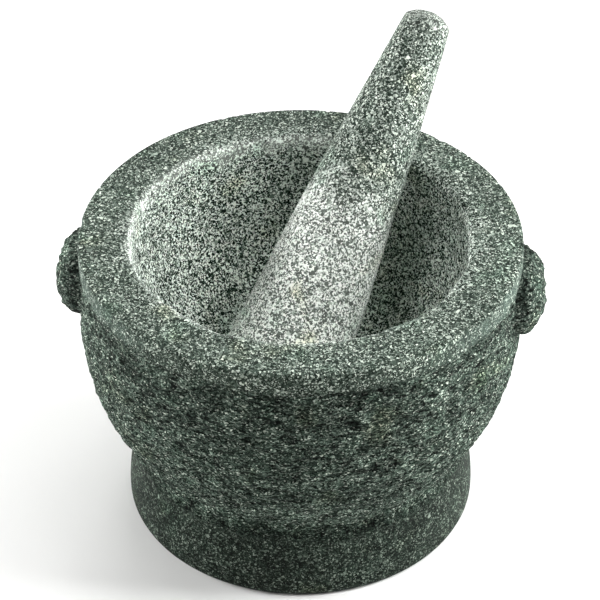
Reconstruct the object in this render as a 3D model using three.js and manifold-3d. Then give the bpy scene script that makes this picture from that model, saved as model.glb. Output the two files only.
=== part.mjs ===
// A molcajete: a granite mortar carved from one block, with a round foot and two lugs,
// and the loose granite pestle that leans in its bowl.
// Millimetres, +Z up. The origin is the middle of the foot's underside, which is the resting
// surface. The lugs are on the X axis, and the front of the mortar faces -Y.
import * as THREE from "three";
import { mergeVertices } from "three/addons/utils/BufferGeometryUtils.js";
import Module from "manifold-3d";

// Mortar
const MORTAR_HEIGHT = 148.5;
const RIM_RADIUS = 101.5;
const RIM_EDGE = 2;
const BAND_HEIGHT = 11;
const OPENING_RADIUS = 77;
const LIP_EDGE = 2;
const BOWL_DEPTH = 95.1;
const BOWL_FULLNESS = 2.4; // 2 is half an ellipsoid, and more gives steeper walls
const BELLY_RADIUS = 102.2;
const BELLY_HEIGHT = 115; // where the belly is widest
const SKIRT_RADIUS = 84.4; // the lower edge of the belly, which overhangs the neck
const SKIRT_HEIGHT = 47;
const SKIRT_EDGE = 2.4;
const NECK_RADIUS = 78.5;
const NECK_HEIGHT = 37;
const FOOT_RADIUS = 83;
const FOOT_EDGE = 3;

// Lugs, one at each end of the X axis
const LUG_MIDDLE = { radius: 98, height: 122.5 };
const LUG_REACH = { out: 15, along: 25.5, up: 17 }; // half sizes
const LUG_SQUARENESS = 2.3; // 2 is an ellipsoid, and more is boxier

// Pestle
const PESTLE_LENGTH = 203.8;
const PESTLE_END_RADIUS = 30.2; // of the cone, at the working end
const PESTLE_TIP_RADIUS = 10.5; // of the cone, at the handle's tip
const PESTLE_SWELL = 1.65; // how far the side bows out from a straight cone
const PESTLE_END_DOME = 24;
const PESTLE_TIP_CAP = 4.8; // height of the handle's end face, a shallow cap with a blunt edge
const PESTLE_LEAN = THREE.MathUtils.degToRad(45.4); // from upright
const PESTLE_TURN = THREE.MathUtils.degToRad(28.7); // from the back (+Y) towards +X
const PESTLE_STANDS_AT = new THREE.Vector3(-15.85, -29.26, 65.2); // lowest point of its axis

// Fineness of the meshes
const MORTAR_SIDES = 64;
const PESTLE_SIDES = 40;
const BOWL_STEPS = 16;
const LUG_SIDES = 24;
const DOME_STEPS = 6;
const SHAFT_STEPS = 8;

const honedGranite = new THREE.MeshStandardMaterial({
  color: 0x5d6a63,
  roughness: 0.75,
  metalness: 0,
});
const paleGranite = new THREE.MeshStandardMaterial({
  color: 0x8d9690,
  roughness: 0.8,
  metalness: 0,
});

const at = (radius, height) => new THREE.Vector2(radius, height);

function bend(steps, start, corner, end) {
  return new THREE.QuadraticBezierCurve(start, corner, end).getPoints(steps);
}

function sweep(steps, start, leaving, arriving, end) {
  return new THREE.CubicBezierCurve(start, leaving, arriving, end).getPoints(steps);
}

function withoutRepeats(points) {
  return points.filter((point, i) => i === 0 || point.distanceTo(points[i - 1]) > 0.01);
}

// Turns an outline round the Z axis. It runs from the axis, round the outside and back to it.
function turned(outline, sides) {
  return new THREE.LatheGeometry(withoutRepeats(outline), sides).rotateX(Math.PI / 2);
}

function footAndNeck() {
  return [
    ...bend(
      3,
      at(FOOT_RADIUS - FOOT_EDGE, 0),
      at(FOOT_RADIUS, 0),
      at(FOOT_RADIUS, FOOT_EDGE),
    ),
    ...sweep(
      6,
      at(FOOT_RADIUS, FOOT_EDGE),
      at(FOOT_RADIUS, NECK_HEIGHT * 0.45),
      at(NECK_RADIUS + 1, NECK_HEIGHT * 0.75),
      at(NECK_RADIUS, NECK_HEIGHT),
    ),
  ];
}

function belly() {
  const underside = at(SKIRT_RADIUS - SKIRT_EDGE, SKIRT_HEIGHT - SKIRT_EDGE / 2);
  const side = at(SKIRT_RADIUS + SKIRT_EDGE / 2, SKIRT_HEIGHT + SKIRT_EDGE);
  return [
    ...bend(4, at(NECK_RADIUS, NECK_HEIGHT), at(NECK_RADIUS, underside.y - 1), underside),
    ...bend(3, underside, at(SKIRT_RADIUS - 0.2, SKIRT_HEIGHT), side),
    ...sweep(
      9,
      side,
      at(SKIRT_RADIUS + 12.5, SKIRT_HEIGHT + 22),
      at(BELLY_RADIUS, BELLY_HEIGHT - 32),
      at(BELLY_RADIUS, BELLY_HEIGHT),
    ),
  ];
}

function rim() {
  const top = MORTAR_HEIGHT;
  return [
    at(RIM_RADIUS, top - BAND_HEIGHT),
    ...bend(3, at(RIM_RADIUS, top - RIM_EDGE), at(RIM_RADIUS, top), at(RIM_RADIUS - RIM_EDGE, top)),
    ...bend(
      3,
      at(OPENING_RADIUS + LIP_EDGE, top),
      at(OPENING_RADIUS, top),
      at(OPENING_RADIUS, top - LIP_EDGE),
    ),
  ];
}

function bowlRadius(drop) {
  return OPENING_RADIUS * Math.sqrt(1 - (drop / BOWL_DEPTH) ** BOWL_FULLNESS);
}

// From just below the lip down to the middle of the bowl's floor.
function bowl() {
  const points = [];
  for (let i = 1; i < BOWL_STEPS; i += 1) {
    const drop = BOWL_DEPTH * Math.sin((i / BOWL_STEPS) * (Math.PI / 2)) ** (2 / BOWL_FULLNESS);
    if (drop > LIP_EDGE * 2) points.push(at(bowlRadius(drop), MORTAR_HEIGHT - drop));
  }
  points.push(at(0, MORTAR_HEIGHT - BOWL_DEPTH));
  return points;
}

// A squared-off ellipsoid: the roughly rounded knob that is left standing on the wall.
function lugGeometry(side) {
  const geometry = new THREE.SphereGeometry(1, LUG_SIDES, LUG_SIDES / 2);
  const corners = geometry.getAttribute("position");
  const point = new THREE.Vector3();
  for (let i = 0; i < corners.count; i += 1) {
    point.fromBufferAttribute(corners, i);
    const reach = [point.x, point.y, point.z].reduce(
      (sum, part) => sum + Math.abs(part) ** LUG_SQUARENESS,
      0,
    );
    point.multiplyScalar(reach ** (-1 / LUG_SQUARENESS));
    corners.setXYZ(i, point.x * LUG_REACH.out, point.y * LUG_REACH.along, point.z * LUG_REACH.up);
  }
  return geometry.translate(side * LUG_MIDDLE.radius, 0, LUG_MIDDLE.height);
}

const wasm = await Module();
wasm.setup();

function toSolid(geometry) {
  geometry.deleteAttribute("normal");
  geometry.deleteAttribute("uv");
  const merged = mergeVertices(geometry);
  const index = merged.getIndex().array;
  const triangles = [];
  for (let i = 0; i < index.length; i += 3) {
    const [a, b, c] = index.slice(i, i + 3);
    if (a !== b && b !== c && c !== a) triangles.push(a, b, c);
  }
  return new wasm.Manifold(
    new wasm.Mesh({
      numProp: 3,
      vertProperties: Float32Array.from(merged.getAttribute("position").array),
      triVerts: Uint32Array.from(triangles),
    }),
  );
}

function toGeometry(solid) {
  const mesh = solid.getMesh();
  const geometry = new THREE.BufferGeometry();
  geometry.setAttribute("position", new THREE.BufferAttribute(mesh.vertProperties, 3));
  geometry.setIndex(new THREE.BufferAttribute(mesh.triVerts, 1));
  geometry.computeVertexNormals();
  return geometry;
}

function mortar() {
  const outline = [at(0, 0), ...footAndNeck(), ...belly(), ...rim(), ...bowl()];
  const block = toSolid(turned(outline, MORTAR_SIDES))
    .add(toSolid(lugGeometry(1)))
    .add(toSolid(lugGeometry(-1)));
  const mesh = new THREE.Mesh(toGeometry(block), honedGranite);
  mesh.name = "mortar";
  return mesh;
}

function pestleRadius(along) {
  const share = along / PESTLE_LENGTH;
  const cone = PESTLE_END_RADIUS + (PESTLE_TIP_RADIUS - PESTLE_END_RADIUS) * share;
  return cone + PESTLE_SWELL * 4 * share * (1 - share);
}

// From the middle of the working end, up the side, to the middle of the handle's tip.
function pestleOutline() {
  const points = [at(0, 0)];
  for (let i = 1; i <= DOME_STEPS; i += 1) {
    const angle = (i / DOME_STEPS) * (Math.PI / 2);
    const along = PESTLE_END_DOME * (1 - Math.cos(angle));
    points.push(at(pestleRadius(along) * Math.sin(angle), along));
  }
  const shoulder = PESTLE_LENGTH - PESTLE_TIP_CAP;
  const shaft = shoulder - PESTLE_END_DOME;
  for (let i = 1; i <= SHAFT_STEPS; i += 1) {
    const along = PESTLE_END_DOME + (i / SHAFT_STEPS) * shaft;
    points.push(at(pestleRadius(along), along));
  }
  const edge = pestleRadius(shoulder);
  const capRadius = (edge ** 2 + PESTLE_TIP_CAP ** 2) / (2 * PESTLE_TIP_CAP);
  for (let i = 1; i < DOME_STEPS; i += 1) {
    const angle = Math.asin(edge / capRadius) * (1 - i / DOME_STEPS);
    const along = PESTLE_LENGTH - capRadius * (1 - Math.cos(angle));
    points.push(at(capRadius * Math.sin(angle), along));
  }
  points.push(at(0, PESTLE_LENGTH));
  return points;
}

// The pestle stands in a turned group, leaning to the back right.
function pestle() {
  const mesh = new THREE.Mesh(turned(pestleOutline(), PESTLE_SIDES), paleGranite);
  mesh.name = "pestle";
  mesh.rotation.x = -PESTLE_LEAN;
  const stance = new THREE.Group();
  stance.position.copy(PESTLE_STANDS_AT);
  stance.rotation.z = -PESTLE_TURN;
  stance.add(mesh);
  return stance;
}

const molcajete = new THREE.Group();
molcajete.add(mortar(), pestle());

export default molcajete;
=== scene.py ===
# The looks of a molcajete: a granite mortar, hewn outside and ground inside, with its loose pestle.
#
# Everything is in metres, in the CAD model's frame: +Z up, the foot's underside at z = 0, the two
# lugs on the X axis and the front facing -Y. Each stone is one closed mesh. Its smooth form is
# turned on a grid of points, then a chisel takes strokes out of the parts that were left rough.
# Each mesh carries named shades, from 0 to 1, that tell its granite what was done to it where,
# and where it is given painted shade and painted light.
import math
import random

import bpy
import numpy as np
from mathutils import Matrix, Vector, noise


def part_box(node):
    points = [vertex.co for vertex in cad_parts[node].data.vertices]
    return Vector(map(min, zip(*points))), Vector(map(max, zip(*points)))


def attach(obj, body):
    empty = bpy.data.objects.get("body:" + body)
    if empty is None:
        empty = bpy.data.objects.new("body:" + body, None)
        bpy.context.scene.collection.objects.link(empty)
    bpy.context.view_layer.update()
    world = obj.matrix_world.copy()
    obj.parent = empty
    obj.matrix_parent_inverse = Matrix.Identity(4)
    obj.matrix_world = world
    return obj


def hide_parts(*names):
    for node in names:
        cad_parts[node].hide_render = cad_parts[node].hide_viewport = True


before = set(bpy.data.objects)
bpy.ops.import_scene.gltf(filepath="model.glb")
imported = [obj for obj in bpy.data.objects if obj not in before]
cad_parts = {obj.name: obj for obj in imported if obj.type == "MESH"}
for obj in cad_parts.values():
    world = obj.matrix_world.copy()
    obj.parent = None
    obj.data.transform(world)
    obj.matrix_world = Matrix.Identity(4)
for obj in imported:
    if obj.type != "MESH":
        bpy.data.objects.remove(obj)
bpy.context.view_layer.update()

MM = 0.001

# Mortar
MORTAR_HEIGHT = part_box("mortar")[1].z
RIM_RADIUS = 101.5 * MM
RIM_EDGE = 2 * MM
BAND_HEIGHT = 11 * MM
BAND_FOOT = MORTAR_HEIGHT - BAND_HEIGHT
OPENING_RADIUS = 77 * MM
LIP_EDGE = 2.6 * MM
BOWL_DEPTH = 95.1 * MM
BOWL_FULLNESS = 2.4  # 2 is half an ellipsoid, and more gives steeper walls
BELLY_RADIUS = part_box("mortar")[1].y
BELLY_HEIGHT = 115 * MM
SKIRT_RADIUS = 84.4 * MM  # the lower edge of the belly, which overhangs the neck
SKIRT_HEIGHT = 47 * MM
SKIRT_EDGE = 2.4 * MM
NECK_RADIUS = 78.5 * MM
NECK_HEIGHT = 37 * MM
FOOT_RADIUS = 83 * MM
FOOT_EDGE = 3 * MM

# Lugs, one at each end of the X axis
LUG_RADIUS = 98 * MM
LUG_HEIGHT = 122.5 * MM
LUG_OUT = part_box("mortar")[1].x - LUG_RADIUS
LUG_ALONG = 25.5 * MM
LUG_UP = 17 * MM
LUG_SQUARENESS = 2.3  # 2 is an ellipsoid, and more is boxier
LUG_BLEND = 1.6 * MM

# Pestle
PESTLE_LENGTH = 203.8 * MM
PESTLE_END_RADIUS = 30.2 * MM
PESTLE_TIP_RADIUS = 10.5 * MM
PESTLE_SWELL = 1.65 * MM
PESTLE_END_DOME = 24 * MM
PESTLE_TIP_CAP = 4.8 * MM
PESTLE_SHOULDER = PESTLE_LENGTH - PESTLE_TIP_CAP
PESTLE_GROUND_LENGTH = 104 * MM  # the working half, which is ground pale
PESTLE_LEAN = math.radians(45.4)
PESTLE_TURN = math.radians(28.7)
PESTLE_STANDS_AT = np.array((-15.85, -29.26, 65.2)) * MM

# Points round each stone
MORTAR_AROUND = 480
PESTLE_AROUND = 160

# Studio
CAMERA_ELEVATION = math.radians(38.13)
CAMERA_TURN = math.radians(4.5)
CAMERA_DISTANCE = 1.2063
CAMERA_AIM_HEIGHT = 110 * MM
CAMERA_AIM_LEFT = 0.33 * MM
LAMP_SIZE = 0.6
LAMP_DISTANCE = 1.25
LAMP_AIM_HEIGHT = 100 * MM

SEED = 11


# ---------------------------------------------------------------- curves and noise

def smoothstep(low, high, value):
    share = np.clip((value - low) / (high - low), 0, 1)
    return share * share * (3 - 2 * share)


def smooth_max(a, b, blend):
    share = np.clip(0.5 + 0.5 * (a - b) / blend, 0, 1)
    return b + (a - b) * share + blend * share * (1 - share)


def bell(value, middle, width):
    return np.exp(-((value - middle) / width) ** 2)


def lumps(points, size, octaves=1):
    """Smooth noise of about -1 to 1. The lumps' size is one number, or one for each axis."""
    scaled = (points / np.asarray(size)).reshape(-1, 3).tolist()
    values = [noise.fractal(p, 1, 2, octaves) for p in scaled]
    return np.array(values).reshape(points.shape[:-1])


def bezier(*corners, steps=60):
    """A curve that leaves towards the second corner and arrives from the one before the last."""
    share = np.linspace(0, 1, steps)[:, None]
    rows = [np.array(corner)[None, :] * np.ones_like(share) for corner in corners]
    while len(rows) > 1:
        rows = [a * (1 - share) + b * share for a, b in zip(rows, rows[1:])]
    return rows[0]


def respaced(outline, spacing):
    """The outline with new points, `spacing(radius, height)` apart."""
    steps = np.linalg.norm(np.diff(outline, axis=0), axis=1)
    middles = (outline[1:] + outline[:-1]) / 2
    wanted = np.array([spacing(*middle) for middle in middles])
    count = np.concatenate([[0], np.cumsum(steps / wanted)])
    places = np.linspace(0, count[-1], int(count[-1]) + 1)
    return np.stack([np.interp(places, count, outline[:, axis]) for axis in (0, 1)], axis=1)


def turned(outline, around):
    """A grid of points, [ring, place round the Z axis, xyz]."""
    angle = np.arange(around) / around * 2 * math.pi
    radius = outline[:, :1]
    height = np.repeat(outline[:, 1:], around, axis=1)
    return np.stack([radius * np.cos(angle), radius * np.sin(angle), height], axis=2)


def outward(grid):
    """The unit normal at each point of the grid."""
    round_axis = np.roll(grid, -1, axis=1) - np.roll(grid, 1, axis=1)
    along_outline = np.gradient(grid, axis=0)
    normal = np.cross(round_axis, along_outline)
    length = np.linalg.norm(normal, axis=2, keepdims=True)
    return normal / np.maximum(length, 1e-12)


# ---------------------------------------------------------------- meshes

def joined_faces(first, count, next_first, next_count):
    """Faces from one ring of points to the next, which may hold half or twice as many."""
    faces = []
    fine, coarse = max(count, next_count), min(count, next_count)
    for i in range(coarse):
        j = (i + 1) % coarse
        a, b, c = 2 * i, 2 * i + 1, (2 * i + 2) % fine
        if count == next_count:
            faces.append((first + i, first + j, next_first + j, next_first + i))
        elif count > next_count:
            faces.append((first + a, first + b, next_first + i))
            faces.append((first + b, next_first + j, next_first + i))
            faces.append((first + b, first + c, next_first + j))
        else:
            faces.append((first + i, next_first + b, next_first + a))
            faces.append((first + i, first + j, next_first + b))
            faces.append((first + j, next_first + c, next_first + b))
    return faces


def placed(name, data):
    """A new object of the scene, which holds the mesh, lamp or camera given."""
    thing = bpy.data.objects.new(name, data)
    bpy.context.scene.collection.objects.link(thing)
    return thing


def stone(name, grid, coarseness, shades):
    """One closed mesh from a grid whose first and last rings close over the axis.
    Ring i keeps every coarseness[i]-th point. Shades are named values for the material."""
    rings = [ring[::step] for ring, step in zip(grid, coarseness)]
    starts = np.concatenate([[0], np.cumsum([len(ring) for ring in rings])])
    points = np.concatenate([*rings, [rings[0].mean(axis=0)], [rings[-1].mean(axis=0)]])
    faces = []
    for i in range(len(rings) - 1):
        faces += joined_faces(starts[i], len(rings[i]), starts[i + 1], len(rings[i + 1]))
    bottom, top = len(points) - 2, len(points) - 1
    for i in range(len(rings[0])):
        faces.append((bottom, (i + 1) % len(rings[0]), i))
    for i in range(len(rings[-1])):
        faces.append((top, starts[-2] + i, starts[-2] + (i + 1) % len(rings[-1])))
    mesh = bpy.data.meshes.new(name)
    mesh.from_pydata(points.tolist(), [], [tuple(int(v) for v in face) for face in faces])
    for shade, values in shades.items():
        kept = [row[::step] for row, step in zip(values, coarseness)]
        flat = np.concatenate([*kept, [kept[0].mean()], [kept[-1].mean()]])
        mesh.attributes.new(shade, "FLOAT", "POINT").data.foreach_set("value", flat)
    mesh.shade_smooth()
    mesh.validate()
    return placed(name, mesh)


class Chisel:
    """Takes strokes out of a grid, and remembers how deep each point was cut."""

    FINEST_STEP = 0.3 * MM  # the grid's points are taken to be at least this far apart
    LEAST_RISE = 0.45  # even a level stroke takes this share of its reach up and down

    def __init__(self, grid, seed):
        self.grid = grid
        self.normals = outward(grid)
        self.depth = np.zeros(grid.shape[:2])
        self.chance = random.Random(seed)

    def stroke(self, ring, place, slant, length, width, depth):
        """One stroke. A slant of 0 runs round the stone, and 90 degrees runs up and down it."""
        rings, around = self.depth.shape
        reach = length / 2 + width
        rise = reach * max(abs(math.sin(slant)), self.LEAST_RISE)
        middle = self.grid[ring, place]
        step_round = np.linalg.norm(self.grid[ring, (place + 1) % around] - middle)
        step_along = np.linalg.norm(self.grid[min(ring + 1, rings - 1), place] - middle)
        span_round = int(reach / max(step_round, self.FINEST_STEP)) + 1
        span_along = int(rise / max(step_along, self.FINEST_STEP)) + 1
        rows = np.arange(max(ring - span_along, 0), min(ring + span_along + 1, rings))
        columns = np.arange(place - span_round, place + span_round + 1) % around
        patch = np.ix_(rows, columns)
        normal = self.normals[ring, place]
        level = np.array((-middle[1], middle[0], 0.0))
        level /= max(np.linalg.norm(level), 1e-9)
        rising = np.cross(normal, level)
        heading = math.cos(slant) * level + math.sin(slant) * rising
        offset = self.grid[patch] - middle
        along = offset @ heading / (length / 2)
        across = offset @ np.cross(normal, heading) / (width / 2)
        cut = depth * np.clip(1 - along ** 2, 0, 1) * np.clip(1 - np.abs(across) ** 1.5, 0, 1)
        self.depth[patch] = np.maximum(self.depth[patch], cut)

    def strokes(self, count, rings, slant, length, width, depth, places=None):
        """Many strokes at random places. Each size is between the two given, in millimetres."""
        chance, around = self.chance, self.depth.shape[1]
        for _ in range(count):
            place = chance.choice(places) if places else chance.randrange(around)
            ring = chance.choice(rings)
            angle = chance.uniform(*slant)
            sizes = [chance.uniform(low * MM, high * MM) for low, high in (length, width, depth)]
            self.stroke(ring, place, angle, *sizes)


# ---------------------------------------------------------------- mortar

def mortar_outline():
    """From the foot's underside up the outside, over the rim and down to the bowl's floor."""
    top = MORTAR_HEIGHT
    underside = (SKIRT_RADIUS - SKIRT_EDGE, SKIRT_HEIGHT - SKIRT_EDGE / 2)
    side = (SKIRT_RADIUS + SKIRT_EDGE / 2, SKIRT_HEIGHT + SKIRT_EDGE)
    drops = BOWL_DEPTH * np.sin(np.linspace(0, math.pi / 2, 90)) ** (2 / BOWL_FULLNESS)
    drops = drops[drops > LIP_EDGE * 1.6]
    bowl = OPENING_RADIUS * np.sqrt(1 - np.minimum(drops / BOWL_DEPTH, 1) ** BOWL_FULLNESS)
    parts = [
        bezier((2 * MM, 0), (FOOT_RADIUS - FOOT_EDGE, 0)),
        bezier((FOOT_RADIUS - FOOT_EDGE, 0), (FOOT_RADIUS, 0), (FOOT_RADIUS, FOOT_EDGE)),
        bezier(
            (FOOT_RADIUS, FOOT_EDGE),
            (FOOT_RADIUS, NECK_HEIGHT * 0.45),
            (NECK_RADIUS + 1 * MM, NECK_HEIGHT * 0.75),
            (NECK_RADIUS, NECK_HEIGHT),
        ),
        bezier((NECK_RADIUS, NECK_HEIGHT), (NECK_RADIUS, underside[1] - 1 * MM), underside),
        bezier(underside, (SKIRT_RADIUS - 0.2 * MM, SKIRT_HEIGHT), side),
        bezier(
            side,
            (SKIRT_RADIUS + 12.5 * MM, SKIRT_HEIGHT + 22 * MM),
            (BELLY_RADIUS, BELLY_HEIGHT - 32 * MM),
            (BELLY_RADIUS, BELLY_HEIGHT),
        ),
        bezier((BELLY_RADIUS, BELLY_HEIGHT), (RIM_RADIUS, BAND_FOOT)),
        bezier((RIM_RADIUS, BAND_FOOT), (RIM_RADIUS, top - RIM_EDGE)),
        bezier((RIM_RADIUS, top - RIM_EDGE), (RIM_RADIUS, top), (RIM_RADIUS - RIM_EDGE, top)),
        bezier((RIM_RADIUS - RIM_EDGE, top), (OPENING_RADIUS + LIP_EDGE, top)),
        bezier(
            (OPENING_RADIUS + LIP_EDGE, top), (OPENING_RADIUS, top), (bowl[0], top - drops[0])
        ),
        np.stack([bowl, top - drops], axis=1),
    ]
    outline = np.concatenate(parts)
    apart = np.linalg.norm(np.diff(outline, axis=0), axis=1) > 1e-7
    outline = outline[np.concatenate([[True], apart])]
    return outline[outline[:, 0] > 1.5 * MM]


def mortar_spacing(radius, height):
    """How far apart the mortar's rings are: close on the hewn belly, wide where it is smooth."""
    if height < 0.5 * MM:
        return 4 * MM if radius < FOOT_RADIUS - 2 * FOOT_EDGE else 1 * MM
    inside = radius < OPENING_RADIUS + 1 * MM and height > MORTAR_HEIGHT - BOWL_DEPTH - 1 * MM
    in_bowl = inside and not (radius > NECK_RADIUS - 2 * MM and height < SKIRT_HEIGHT)
    if in_bowl:
        return 1.2 * MM if height > MORTAR_HEIGHT - 4 * MM else 2.6 * MM
    if height > MORTAR_HEIGHT - RIM_EDGE - 0.2 * MM:
        return 0.6 * MM if radius > RIM_RADIUS - RIM_EDGE else 1.6 * MM
    if height > BAND_FOOT:
        return 1.2 * MM
    return 0.95 * MM if height > NECK_HEIGHT - 8 * MM else 1.3 * MM


def mortar_coarseness(outline, inside):
    """The step between the points that each ring keeps: longer where it is small or smooth."""
    radius, height = outline[:, 0], outline[:, 1]
    coarseness = np.ones(len(outline), int)
    coarseness[inside & (height < MORTAR_HEIGHT - 5 * MM)] = 2
    for limit, step in ((44 * MM, 4), (22 * MM, 8), (11 * MM, 16)):
        coarseness[inside & (radius < limit)] = step
    flat = ~inside & (height < 0.01 * MM)
    for limit, step in ((74 * MM, 2), (60 * MM, 4), (40 * MM, 8), (20 * MM, 16)):
        coarseness[flat & (radius < limit)] = step
    return coarseness


def with_lugs(grid, wall):
    """Pulls the two lugs out of the turned wall. The points near each one are spread over it.
    Gives the new points, how far each is on a lug, and its painted shade round and under a lug."""
    foot, clear = 1.1, 1.4  # in lug sizes: what becomes the lug, and where the wall is unchanged
    grid = grid.copy()
    x, y, z = grid[..., 0], grid[..., 1], grid[..., 2]
    up = z - LUG_HEIGHT
    reach = np.abs(y / LUG_ALONG) ** LUG_SQUARENESS + np.abs(up / LUG_UP) ** LUG_SQUARENESS
    reach = np.maximum(reach, 1e-9) ** (1 / LUG_SQUARENESS)
    near = (reach < clear) & (np.abs(x) > OPENING_RADIUS + 12 * MM)
    on_lug = np.sin(np.clip(reach / foot, 0, 1) * math.pi / 2)
    beyond = 1 + (reach - foot) / (clear - foot) * (clear - 1)
    spread = np.where(reach < foot, on_lug, beyond)
    y_new = y * spread / reach
    z_new = LUG_HEIGHT + up * spread / reach
    wall_radius = np.interp(z_new, wall[:, 1], wall[:, 0])
    x_wall = np.sqrt(np.maximum(wall_radius ** 2 - y_new ** 2, 0))
    bulge = np.clip(1 - np.clip(spread, 0, 1) ** LUG_SQUARENESS, 0, 1) ** (1 / LUG_SQUARENESS)
    x_lug = LUG_RADIUS + LUG_OUT * bulge - LUG_OUT * np.clip(spread - 1, 0, 1)
    x_new = smooth_max(x_wall, x_lug, LUG_BLEND) * np.sign(x)
    for axis, value in enumerate((x_new, y_new, z_new)):
        grid[..., axis] = np.where(near, value, grid[..., axis])
    on_stone = np.where(near, smoothstep(1.12, 0.96, spread), 0)
    # Painted shade: a dark crease round each lug, and a darker lower flank under it.
    underside = smoothstep(0.2, 1.0, spread) * np.clip((LUG_HEIGHT - z_new) / LUG_UP, 0, 1) * 0.7
    seam = bell(spread, 1.03, 0.17) * 0.75
    seam = np.maximum(seam, underside * smoothstep(1.4, 1.0, spread))
    return grid, on_stone, np.where(near, seam, 0)


class MortarPlaces:
    """The mortar's grid before it is cut, and what each point of it belongs to."""

    def __init__(self, outline):
        self.height = outline[:, 1]
        self.top_ring = int(np.argmax(self.height > MORTAR_HEIGHT - 1e-6))
        self.inside_rings = np.arange(len(outline)) > self.top_ring
        outer = ~self.inside_rings
        self.grid = turned(outline, MORTAR_AROUND)
        wall = outline[outer & (self.height > FOOT_EDGE)]
        self.grid[outer], lug, seam = with_lugs(self.grid[outer], wall)
        off_lug = np.zeros((self.inside_rings.sum(), MORTAR_AROUND))
        self.lug = np.concatenate([lug, off_lug])
        self.seam = np.concatenate([seam, off_lug])
        self.outside = np.repeat(outer[:, None], MORTAR_AROUND, axis=1)
        self.ring_height = np.repeat(self.height[:, None], MORTAR_AROUND, axis=1)
        self.drop = MORTAR_HEIGHT - self.ring_height
        self.from_axis = np.hypot(self.grid[..., 0], self.grid[..., 1])
        self.from_opening = self.from_axis - OPENING_RADIUS
        # How far a point is to the left, where the bowl's lip takes painted light as if from the
        # right.
        self.lit_left_side = smoothstep(62 * MM, -10 * MM, self.grid[..., 0])
        self.wander = lumps(self.grid, 14 * MM, 2) * 1.6 * MM  # of the edges between zones

    def hewn(self):
        """The belly, the lugs and most of the neck stay as the chisel leaves them."""
        over_band_foot = self.grid[..., 2] - BAND_FOOT + self.wander
        below_band = smoothstep(1.2 * MM, -1.2 * MM, over_band_foot)
        over_foot = self.ring_height - (NECK_HEIGHT - 6 * MM) + self.wander * 1.5
        above_foot = smoothstep(-3 * MM, 3 * MM, over_foot)
        return np.where(self.outside, np.maximum(below_band, self.lug) * above_foot, 0)

    def ground(self):
        """The bowl is ground, and the rim's top is bruised in patches near the opening."""
        ground = np.where(self.outside, 0, smoothstep(-0.3 * MM, 2.2 * MM, self.drop))
        on_top = ~self.outside & (self.drop < 0.5 * MM)
        patches = lumps(self.grid, 20 * MM, 2) * 8 * MM
        bruised = smoothstep(11 * MM, 0, self.from_opening + patches)
        return np.where(on_top, np.maximum(ground, bruised * 0.22), ground)

    def at_edge(self):
        """The rim's outer edge, and the lip of the bowl."""
        edge = np.where(self.outside, RIM_RADIUS, OPENING_RADIUS + 0.6 * MM)
        from_edge = np.hypot(self.from_axis - edge, self.grid[..., 2] - MORTAR_HEIGHT)
        return smoothstep(4 * MM, 1 * MM, from_edge)

    def worn_and_lit(self, at_edge):
        """The lip and the wall below it, paled on the left: bruised grains and painted light."""
        patches = lumps(self.grid, 12 * MM, 2) * 5 * MM
        below_lip = smoothstep(9 * MM, 2 * MM, self.drop + patches)
        below_lip *= smoothstep(0.1 * MM, 1.2 * MM, self.drop) * self.lit_left_side * ~self.outside
        lip = at_edge * np.where(self.outside, 0.0, 0.3 * self.lit_left_side)
        return np.maximum(lip, below_lip)

    def low(self):
        """The neck and the foot: tinted greener, and given painted shade under the belly."""
        height = self.ring_height + self.wander * 4
        return smoothstep(NECK_HEIGHT + 8 * MM, NECK_HEIGHT - 8 * MM, height) * self.outside

    def band(self, cut):
        """The band under the rim is rubbed smooth in patches, at the sides of the mortar."""
        band = smoothstep(BAND_FOOT - 1 * MM, BAND_FOOT + 1 * MM, cut[..., 2])
        below_top = smoothstep(
            MORTAR_HEIGHT - 0.6 * MM, MORTAR_HEIGHT - 1.6 * MM, self.ring_height
        )
        band *= below_top * self.outside * (1 - self.lug)
        at_sides = smoothstep(50 * MM, 95 * MM, np.abs(cut[..., 0]))
        band *= at_sides * (0.55 + 0.5 * lumps(cut, 7 * MM, 2))
        return np.clip(band, 0, 0.8)


def chisel_mortar(places, hewn, ground):
    """Strokes run round the belly, up and down the neck and the bowl, and every way on the lugs.
    Gives the surface's normals, and how deep the hewn and the ground stone are cut."""
    height, outer_rings = places.height, range(places.top_ring)
    belly = [i for i in outer_rings if SKIRT_HEIGHT < height[i] < BAND_FOOT]
    neck = [i for i in outer_rings if NECK_HEIGHT - 9 * MM < height[i] < SKIRT_HEIGHT]
    lugs = [i for i in belly if abs(height[i] - LUG_HEIGHT) < LUG_UP]
    bowl_rings = range(places.top_ring, len(height))
    bowl = [i for i in bowl_rings if 3 * MM < MORTAR_HEIGHT - height[i] < 30 * MM]
    right, left = 0, MORTAR_AROUND // 2
    near_lug = range(-18, 19)
    lug_places = [(side + i) % MORTAR_AROUND for side in (right, left) for i in near_lug]
    chisel = Chisel(places.grid, SEED)
    chisel.strokes(3600, belly, (-0.4, 0.4), length=(6, 13), width=(2.6, 4.6), depth=(0.2, 1.8))
    chisel.strokes(700, neck, (1.25, 1.9), length=(5, 10), width=(2.2, 3.6), depth=(0.3, 1.1))
    chisel.strokes(
        300, lugs, (0, math.pi), length=(5, 9), width=(4, 7), depth=(0.4, 1.9), places=lug_places
    )
    hewn_depth = chisel.depth * hewn
    chisel.depth[:] = 0
    chisel.strokes(500, bowl, (1.2, 1.95), length=(3, 8), width=(2.5, 4), depth=(0.1, 0.45))
    return chisel.normals, hewn_depth, chisel.depth * ground


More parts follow.
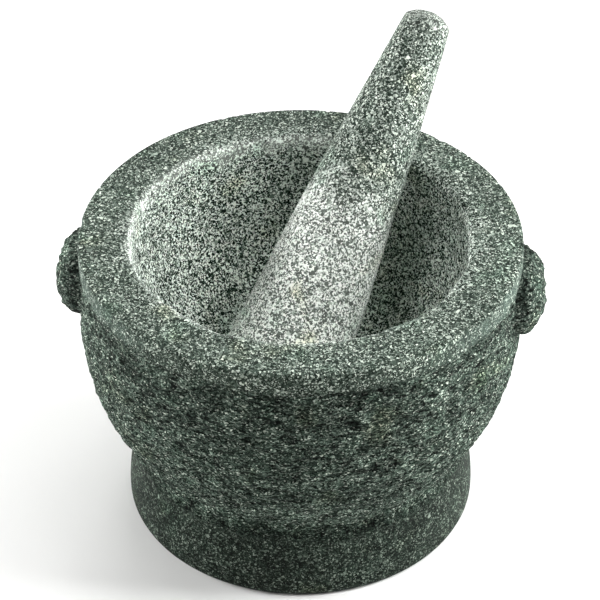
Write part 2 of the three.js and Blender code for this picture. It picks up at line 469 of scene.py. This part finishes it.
def mortar_relief(places, hewn, ground, at_edge):
    """How far each point stands out from the turned form, before the chisel's strokes."""
    grid, ring_height, outside = places.grid, places.ring_height, places.outside
    slow = lumps(grid, 42 * MM) * (0.15 * MM + 0.75 * MM * hewn)
    grit = lumps(grid, 4.5 * MM, 3) * (0.03 * MM + 0.6 * MM * hewn)
    bowl_waves = lumps(grid, 16 * MM, 2) * 0.25 * MM * ground
    skirt = bell(ring_height, SKIRT_HEIGHT, 3.5 * MM) * outside * (ring_height > NECK_HEIGHT)
    ragged = lumps(grid, (11 * MM, 11 * MM, 16 * MM), 3) * 1.5 * MM * skirt
    lip = smoothstep(6 * MM, 1 * MM, np.abs(places.from_opening))
    lip *= smoothstep(9 * MM, 1 * MM, places.drop)
    uneven_lip = (lumps(grid, 11 * MM, 2) - 0.3) * 1.1 * MM * lip * ~outside
    chips = smoothstep(0.32, 0.75, lumps(grid, 5 * MM, 2)) * 1.3 * MM * at_edge
    swollen = hewn * 0.35 * MM
    off_the_floor = smoothstep(0.1 * MM, 4 * MM, ring_height + np.where(outside, 0, 1))
    return (slow + grit + bowl_waves + ragged + uneven_lip - chips + swollen) * off_the_floor


def build_mortar():
    outline = respaced(mortar_outline(), mortar_spacing)
    places = MortarPlaces(outline)
    hewn, ground, at_edge = places.hewn(), places.ground(), places.at_edge()
    normals, hewn_depth, bowl_depth = chisel_mortar(places, hewn, ground)
    push = mortar_relief(places, hewn, ground, at_edge)
    push -= hewn_depth + bowl_depth
    cut = places.grid + normals * push[..., None]
    deepest = 1.5 * MM
    shades = {
        "hewn": hewn,
        "ground": ground,
        "band": places.band(cut),
        # Painted shade round each lug and under it.
        "seam": np.clip(places.seam * (0.85 + 0.6 * lumps(cut, 8 * MM, 2)), 0, 1),
        # Painted shade in the chisel's hollows, weaker on the lugs.
        "hollow_shade": np.clip((hewn_depth + bowl_depth) / deepest, 0, 1) * (1 - 0.7 * places.lug),
        # Painted light on the left of the lip, with bruised grains.
        "worn_and_lit": places.worn_and_lit(at_edge),
        "low": places.low(),
    }
    return stone("mortar_stone", cut, mortar_coarseness(outline, places.inside_rings), shades)


# ---------------------------------------------------------------- pestle

def pestle_radius(along):
    share = along / PESTLE_LENGTH
    cone = PESTLE_END_RADIUS + (PESTLE_TIP_RADIUS - PESTLE_END_RADIUS) * share
    return cone + PESTLE_SWELL * 4 * share * (1 - share)


def pestle_outline():
    """From the middle of the working end, up the side, to the middle of the handle's tip."""
    angle = np.linspace(0.04, math.pi / 2, 60)
    dome = PESTLE_END_DOME * (1 - np.cos(angle))
    side = np.stack([pestle_radius(dome) * np.sin(angle), dome], axis=1)
    edge = pestle_radius(PESTLE_SHOULDER)
    cap_radius = (edge ** 2 + PESTLE_TIP_CAP ** 2) / (2 * PESTLE_TIP_CAP)
    cap_angle = np.linspace(math.asin((edge - 1 * MM) / cap_radius), 0.03, 30)
    cap = PESTLE_LENGTH - cap_radius * (1 - np.cos(cap_angle))
    before = PESTLE_SHOULDER - 1.2 * MM
    shaft = np.linspace(PESTLE_END_DOME, before, 80)[1:]
    return np.concatenate([
        side,
        np.stack([pestle_radius(shaft), shaft], axis=1),
        bezier(
            (pestle_radius(before), before),
            (edge, PESTLE_SHOULDER),
            (cap_radius * math.sin(cap_angle[0]), cap[0]),
            steps=12,
        )[1:],
        np.stack([cap_radius * np.sin(cap_angle), cap], axis=1)[1:],
    ])


def pestle_spacing(radius, along):
    """How far apart the pestle's rings are: close at the blunt edge of the handle's tip."""
    return (0.5 if abs(along - PESTLE_SHOULDER) < 2 * MM else 1.1) * MM


def leaning(grid):
    """The pestle's grid, moved from upright at the origin to where it stands in the bowl."""
    tilt, turn = PESTLE_LEAN, -PESTLE_TURN
    lean = np.array((
        (1, 0, 0),
        (0, math.cos(tilt), math.sin(tilt)),
        (0, -math.sin(tilt), math.cos(tilt)),
    ))
    face = np.array((
        (math.cos(turn), -math.sin(turn), 0),
        (math.sin(turn), math.cos(turn), 0),
        (0, 0, 1),
    ))
    return grid @ (face @ lean).T + PESTLE_STANDS_AT


def build_pestle():
    outline = respaced(pestle_outline(), pestle_spacing)
    grid = turned(outline, PESTLE_AROUND)
    along = np.repeat(outline[:, 1:], PESTLE_AROUND, axis=1)
    chisel = Chisel(grid, SEED + 1)
    tip = [i for i in range(len(outline)) if outline[i, 1] > PESTLE_LENGTH - 8 * MM]
    chisel.strokes(16, tip, (0, math.pi), length=(5, 9), width=(4, 7), depth=(0.2, 0.5))
    waves = lumps(grid, (26 * MM, 26 * MM, 40 * MM)) * 0.35 * MM
    waves = waves + lumps(grid, 7 * MM, 2) * 0.08 * MM
    at_tip = smoothstep(PESTLE_LENGTH - 22 * MM, PESTLE_LENGTH - 2 * MM, along)
    push = waves * smoothstep(0, 30 * MM, along) - chisel.depth * at_tip
    cut = grid + chisel.normals * push[..., None]
    short_of_handle = PESTLE_GROUND_LENGTH - along + lumps(cut, 18 * MM, 2) * 12 * MM
    shades = {name: np.zeros_like(along) for name in ("hewn", "hollow_shade", "low", "band", "seam")}
    shades["ground"] = smoothstep(-14 * MM, 14 * MM, short_of_handle)
    shades["worn_and_lit"] = 0.25 * smoothstep(PESTLE_LENGTH - 14 * MM, PESTLE_LENGTH, along)
    coarseness = np.ones(len(outline), int)
    for limit, step in ((7 * MM, 2), (4 * MM, 4)):
        coarseness[outline[:, 0] < limit] = step
    return stone("pestle_stone", leaning(cut), coarseness, shades)


# ---------------------------------------------------------------- granite

class Nodes:
    """Makes a material's nodes. A socket given as an input is linked, and a value is set."""

    def __init__(self, material):
        material.use_nodes = True
        self.tree = material.node_tree
        self.shader = self.tree.nodes["Principled BSDF"]

    def fill(self, node, inputs):
        for key, value in inputs.items():
            if isinstance(value, bpy.types.NodeSocket):
                self.tree.links.new(value, node.inputs[key])
            else:
                node.inputs[key].default_value = value
        return node

    def add(self, kind, inputs, **settings):
        node = self.tree.nodes.new("ShaderNode" + kind)
        for key, value in settings.items():
            setattr(node, key, value)
        return self.fill(node, inputs)

    def maths(self, operation, *values):
        return self.add("Math", dict(enumerate(values)), operation=operation).outputs[0]

    def between(self, share, a, b):
        """Mixes two numbers, as mix does two colours."""
        return self.add("Mix", {0: share, 2: a, 3: b}).outputs[0]

    def mix(self, share, a, b, blend="MIX"):
        node = self.add("Mix", {}, data_type="RGBA", blend_type=blend)
        return self.fill(node, {0: share, 6: a, 7: b}).outputs[2]

    def span(self, value, low, high, to_low=0.0, to_high=1.0):
        inputs = {0: value, 1: low, 2: high, 3: to_low, 4: to_high}
        return self.add("MapRange", inputs, interpolation_type="SMOOTHSTEP").outputs[0]

    def shade(self, name):
        return self.add("Attribute", {}, attribute_name=name).outputs["Fac"]

    def noise(self, place, size, detail):
        inputs = {"Vector": place, "Scale": 1 / size, "Detail": detail}
        return self.add("TexNoise", inputs)

    def vector(self, operation, inputs):
        return self.add("VectorMath", inputs, operation=operation).outputs[0]

    def scaled(self, place, scale):
        return self.vector("MULTIPLY", {0: place, 1: scale})

    def shifted(self, place, size, detail, by):
        """The place moved at random by up to about half of `by`, in lumps of that size."""
        shift = self.noise(place, size, detail).outputs["Color"]
        shift = self.vector("SUBTRACT", {0: shift, 1: (0.5, 0.5, 0.5)})
        shift = self.vector("SCALE", {0: shift, "Scale": by})
        return self.vector("ADD", {0: place, 1: shift})

    def cells(self, place, size):
        """Random numbers from 0 to 1, three for each crystal of about that size."""
        node = self.add("TexVoronoi", {"Vector": place, "Scale": 1 / size})
        split = self.add("SeparateColor", {0: node.outputs["Color"]})
        return split.outputs

    def ramp(self, value, stops):
        node = self.add("ValToRGB", {0: value})
        while len(node.color_ramp.elements) < len(stops):
            node.color_ramp.elements.new(1.0)
        for element, (place, colour) in zip(node.color_ramp.elements, stops):
            element.position = place
            element.color = (*colour, 1)
        return node.outputs[0]

    def bump(self, height, strength, distance, over=None):
        """Relief of that height, over the normals given or over the plain surface."""
        inputs = {"Height": height, "Strength": strength, "Distance": distance}
        if over is not None:
            inputs["Normal"] = over
        return self.add("Bump", inputs).outputs[0]


# Each finish's crystals, from the darkest to the palest: share of the stone, then colour.
HONED = (
    (0.00, (0.006, 0.010, 0.007)),
    (0.28, (0.015, 0.023, 0.017)),
    (0.50, (0.033, 0.048, 0.037)),
    (0.66, (0.061, 0.085, 0.068)),
    (0.78, (0.118, 0.151, 0.124)),
    (0.88, (0.255, 0.303, 0.256)),
    (1.00, (0.590, 0.650, 0.570)),
)
HEWN = (
    (0.00, (0.004, 0.007, 0.005)),
    (0.28, (0.014, 0.023, 0.017)),
    (0.58, (0.046, 0.068, 0.053)),
    (0.82, (0.118, 0.158, 0.128)),
    (0.94, (0.260, 0.315, 0.262)),
    (1.00, (0.600, 0.660, 0.570)),
)
GROUND = (
    (0.00, (0.005, 0.009, 0.006)),
    (0.30, (0.017, 0.028, 0.020)),
    (0.49, (0.068, 0.094, 0.075)),
    (0.60, (0.320, 0.380, 0.325)),
    (0.71, (0.870, 0.930, 0.860)),
    (1.00, (0.985, 1.000, 0.960)),
)
BRUISED = (0.88, 0.93, 0.86, 1)
RUBBED = (0.064, 0.100, 0.084, 1)

# Tints that the stone's own colour is multiplied by
BOWL_TINT = (0.955, 1.0, 0.975, 1)
PESTLE_TINT = (0.85, 0.85, 0.85, 1)
LOW_TINT = (0.93, 1.0, 0.95, 1)
YELLOWED = (1.06, 1.0, 0.78, 1)
GREENER = (0.80, 0.98, 0.88, 1)


def crystals(nodes, place):
    """A random number for each crystal. Over half of the large crystals are broken up into
    small ones, and a few are larger still."""
    large = nodes.cells(place, 0.85 * MM)
    small = nodes.cells(place, 0.5 * MM)
    rare = nodes.cells(place, 1.7 * MM)
    broken = nodes.maths("GREATER_THAN", large[1], 0.42)
    crystal = nodes.between(broken, large[0], small[0])
    is_rare = nodes.maths("GREATER_THAN", rare[1], 0.97)
    return nodes.between(is_rare, crystal, rare[0])


def crystal_colour(nodes, place, crystal, shades, is_pestle):
    """The crystals' colours in each finish, and the finishes laid over each other."""
    honed_colour, ground_colour = nodes.ramp(crystal, HONED), nodes.ramp(crystal, GROUND)
    drawn_out = nodes.cells(nodes.scaled(place, (0.65, 0.65, 1.0)), 0.5 * MM)[0]
    hewn_colour = nodes.ramp(drawn_out, HEWN)
    if is_pestle:
        honed_colour = nodes.mix(0.16, honed_colour, ground_colour)
        whiter = nodes.maths("ADD", crystal, 0.05)
        ground_colour = nodes.mix(0.1, nodes.ramp(whiter, GROUND), BRUISED)
        ground_colour = nodes.mix(1.0, ground_colour, PESTLE_TINT, "MULTIPLY")
    else:
        ground_colour = nodes.mix(1.0, ground_colour, BOWL_TINT, "MULTIPLY")
    colour = nodes.mix(nodes.span(shades["hewn"], 0.25, 0.75), honed_colour, hewn_colour)
    colour = nodes.mix(shades["ground"], colour, ground_colour)
    # The bowl's lip is paled on the left: bruised grains, and painted light.
    worn_lit_colour = nodes.mix(0.3, ground_colour, BRUISED)
    colour = nodes.mix(nodes.maths("MULTIPLY", shades["worn_and_lit"], 0.7), colour, worn_lit_colour)

    # The band under the rim is rubbed smooth: its crystals are fainter, and it is greener.
    return nodes.mix(shades["band"], colour, nodes.mix(0.5, colour, RUBBED))


def tinted(nodes, place, low, colour):
    """The colour with a few yellowed and a few greener patches, and a greener neck and foot."""
    yellowed = nodes.noise(place, 21 * MM, 2.0).outputs["Color"]
    yellowed = nodes.span(yellowed, 0.56, 0.72, 0.0, 0.55)
    colour = nodes.mix(yellowed, colour, YELLOWED, "MULTIPLY")
    greener = nodes.noise(place, 17 * MM, 2.0).outputs["Fac"]
    greener = nodes.span(greener, 0.56, 0.75, 0.0, 0.5)
    colour = nodes.mix(greener, colour, GREENER, "MULTIPLY")
    return nodes.mix(low, colour, LOW_TINT, "MULTIPLY")


def lightness(nodes, place, warped, marks, shades):
    """A grey to multiply the colour by: slow changes of tone, and painted shade in the chisel's
    marks, in pits and hollows, on the neck and the foot under the belly, and round the lugs."""
    hewn, low = shades["hewn"], shades["low"]
    tone = nodes.span(nodes.noise(place, 30 * MM, 2.0).outputs["Fac"], 0.3, 0.7, 0.88, 1.12)
    mottled = nodes.span(nodes.noise(warped, 8 * MM, 2.0).outputs["Fac"], 0.32, 0.68, 0.7, 1.25)
    mottled = nodes.between(nodes.maths("MAXIMUM", hewn, low), 1.0, mottled)
    # Painted shade in the chisel's marks on hewn stone.
    marks_shade = nodes.maths("MULTIPLY", nodes.span(marks, 0.5, 0.36), hewn)
    # Painted shade in pits, only on the pale lip and the pestle's tip.
    pits = nodes.noise(nodes.scaled(place, (1.0, 1.0, 0.6)), 2.6 * MM, 1.0).outputs["Fac"]
    pits_shade = nodes.span(pits, 0.66, 0.72)
    pits_shade = nodes.maths("MULTIPLY", pits_shade, nodes.span(shades["worn_and_lit"], 0.1, 0.3))
    light = nodes.maths("MULTIPLY", tone, mottled)
    # Each share darkens the colour with painted shade; the neck and foot are darkened under the
    # overhanging belly.
    for share, darkest in (
        (marks_shade, 0.28),
        (pits_shade, 0.25),
        (shades["hollow_shade"], 0.72),
        (low, 0.35),
        (shades["seam"], 0.4),
    ):
        light = nodes.maths("MULTIPLY", light, nodes.span(share, 0.0, 1.0, 1.0, darkest))
    return nodes.add("CombineColor", {0: light, 1: light, 2: light}).outputs[0]


def relief(nodes, place, crystal, marks, hewn):
    """Crystals stand at slightly different levels, and hewn stone has marks and is full of grit."""
    level = nodes.maths("MULTIPLY", crystal, nodes.span(hewn, 0.0, 1.0, 0.35, 1.0))
    fine = nodes.bump(level, 0.6, 0.16 * MM)
    marked = nodes.bump(nodes.maths("MULTIPLY", marks, hewn), 0.9, 1.6 * MM, fine)
    grit = nodes.noise(place, 1.9 * MM, 3.0).outputs["Fac"]
    grit = nodes.maths("MULTIPLY", grit, nodes.span(hewn, 0.0, 1.0, 0.12, 1.0))
    return nodes.bump(grit, 0.8, 1.0 * MM, marked)


def granite(name, is_pestle):
    """Speckled granite. The mesh's shades say where it is hewn, ground or low, where the band
    under the rim is, where shade is painted into hollows and round the lugs, and where wear
    and painted light pale the lip."""
    material = bpy.data.materials.new(name)
    nodes = Nodes(material)
    place = nodes.add("TexCoord", {}).outputs["Object"]
    warped = nodes.shifted(place, 26 * MM, 1.0, by=14 * MM)
    place = nodes.shifted(place, 0.9 * MM, 2.0, by=0.8 * MM)
    names = ("hewn", "ground", "hollow_shade", "worn_and_lit", "low", "band", "seam")
    shades = {shade: nodes.shade(shade) for shade in names}
    hewn, ground, low = shades["hewn"], shades["ground"], shades["low"]

    # The tool's marks run round the belly, and up and down the neck.
    level = nodes.noise(nodes.scaled(warped, (1 / 5, 1 / 5, 1 / 1.2)), MM, 2.0).outputs["Fac"]
    upright = nodes.noise(nodes.scaled(warped, (1 / 1.4, 1 / 1.4, 1 / 6)), MM, 2.0).outputs["Fac"]
    marks = nodes.between(low, level, upright)

    crystal = crystals(nodes, place)
    colour = crystal_colour(nodes, place, crystal, shades, is_pestle)
    colour = tinted(nodes, place, low, colour)
    light = lightness(nodes, place, warped, marks, shades)
    gloss = nodes.span(crystal, 0.0, 1.0, 0.6, 0.8)
    nodes.fill(nodes.shader, {
        "Base Color": nodes.mix(1.0, colour, light, "MULTIPLY"),
        "Roughness": nodes.between(nodes.maths("MAXIMUM", hewn, ground), gloss, 0.85),
        "Normal": relief(nodes, place, crystal, marks, hewn),
        "Specular IOR Level": 0.06,
    })
    return material


# ---------------------------------------------------------------- studio

def outwards(turn, elevation):
    """A direction away from the mortar. A turn of 0 is the front, and 90 degrees its right."""
    return Vector((
        math.sin(turn) * math.cos(elevation),
        -math.cos(turn) * math.cos(elevation),
        math.sin(elevation),
    ))


def build_camera():
    """Looks down on the mortar from the front, a little to the right of its middle."""
    back = outwards(CAMERA_TURN, CAMERA_ELEVATION)
    to_right = Vector((math.cos(CAMERA_TURN), math.sin(CAMERA_TURN), 0))
    aim = Vector((0, 0, CAMERA_AIM_HEIGHT)) - to_right * CAMERA_AIM_LEFT
    data = bpy.data.cameras.new("camera")
    data.lens = 156
    data.sensor_width = 36
    data.clip_start = 0.01
    camera = placed("camera", data)
    camera.location = aim + back * CAMERA_DISTANCE
    camera.rotation_mode = "QUATERNION"
    camera.rotation_quaternion = (-back).to_track_quat("-Z", "Y")
    bpy.context.scene.camera = camera


def softbox(name, turn, elevation, power):
    """A square lamp that faces the mortar."""
    data = bpy.data.lights.new(name, "AREA")
    data.size = LAMP_SIZE
    data.energy = power
    light = placed(name, data)
    away = outwards(turn, elevation)
    light.location = away * LAMP_DISTANCE + Vector((0, 0, LAMP_AIM_HEIGHT))
    light.rotation_mode = "QUATERNION"
    light.rotation_quaternion = away.to_track_quat("Z", "Y")
    light.visible_camera = False


def build_studio():
    """A pale floor that curves up into a round wall, and softboxes above, beside and behind."""
    bend, radius, height, around = 0.8, 3.2, 2.4, 96
    outline = np.concatenate([
        bezier((0.05, 0), (radius - bend, 0), steps=12),
        bezier((radius - bend, 0), (radius, 0), (radius, bend), steps=16)[1:],
        bezier((radius, bend), (radius, height), steps=4)[1:],
    ])
    outline[:, 1] -= 0.1 * MM
    grid = turned(outline, around)
    faces = [
        (i * around + j, i * around + (j + 1) % around,
         (i + 1) * around + (j + 1) % around, (i + 1) * around + j)
        for i in range(len(outline) - 1) for j in range(around)
    ]
    faces.append(tuple(range(around)))
    mesh = bpy.data.meshes.new("studio")
    mesh.from_pydata(grid.reshape(-1, 3).tolist(), [], faces)
    mesh.shade_smooth()
    studio = placed("studio", mesh)
    material = bpy.data.materials.new("studio_paper")
    nodes = Nodes(material)
    nodes.fill(nodes.shader, {"Base Color": (0.89, 0.89, 0.88, 1), "Roughness": 0.95})
    mesh.materials.append(material)

    for name, turn, elevation, power in (
        ("right_high", 90, 50, 15.6),
        ("top_left", 225, 75, 4.5),
        ("top_right", 135, 75, 2.3),
        ("front_left", 315, 50, 2.3),
        ("right", 98, 9, 25),
        ("left", 262, 9, 24),
        ("back", 180, 22, 5.2),
    ):
        softbox(name, math.radians(turn), math.radians(elevation), power)
    world = bpy.data.worlds.new("world")
    world.use_nodes = True
    world.node_tree.nodes["Background"].inputs["Strength"].default_value = 0.0
    bpy.context.scene.world = world
    bpy.context.scene.view_settings.view_transform = "Standard"


build_camera()
build_studio()
for piece, body, slot, is_pestle in (
    (build_mortar(), "mortar", "mortar_granite", False),
    (build_pestle(), "pestle", "pestle_granite", True),
):
    piece.data.materials.append(granite(slot, is_pestle))
    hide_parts(body)
    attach(piece, body)
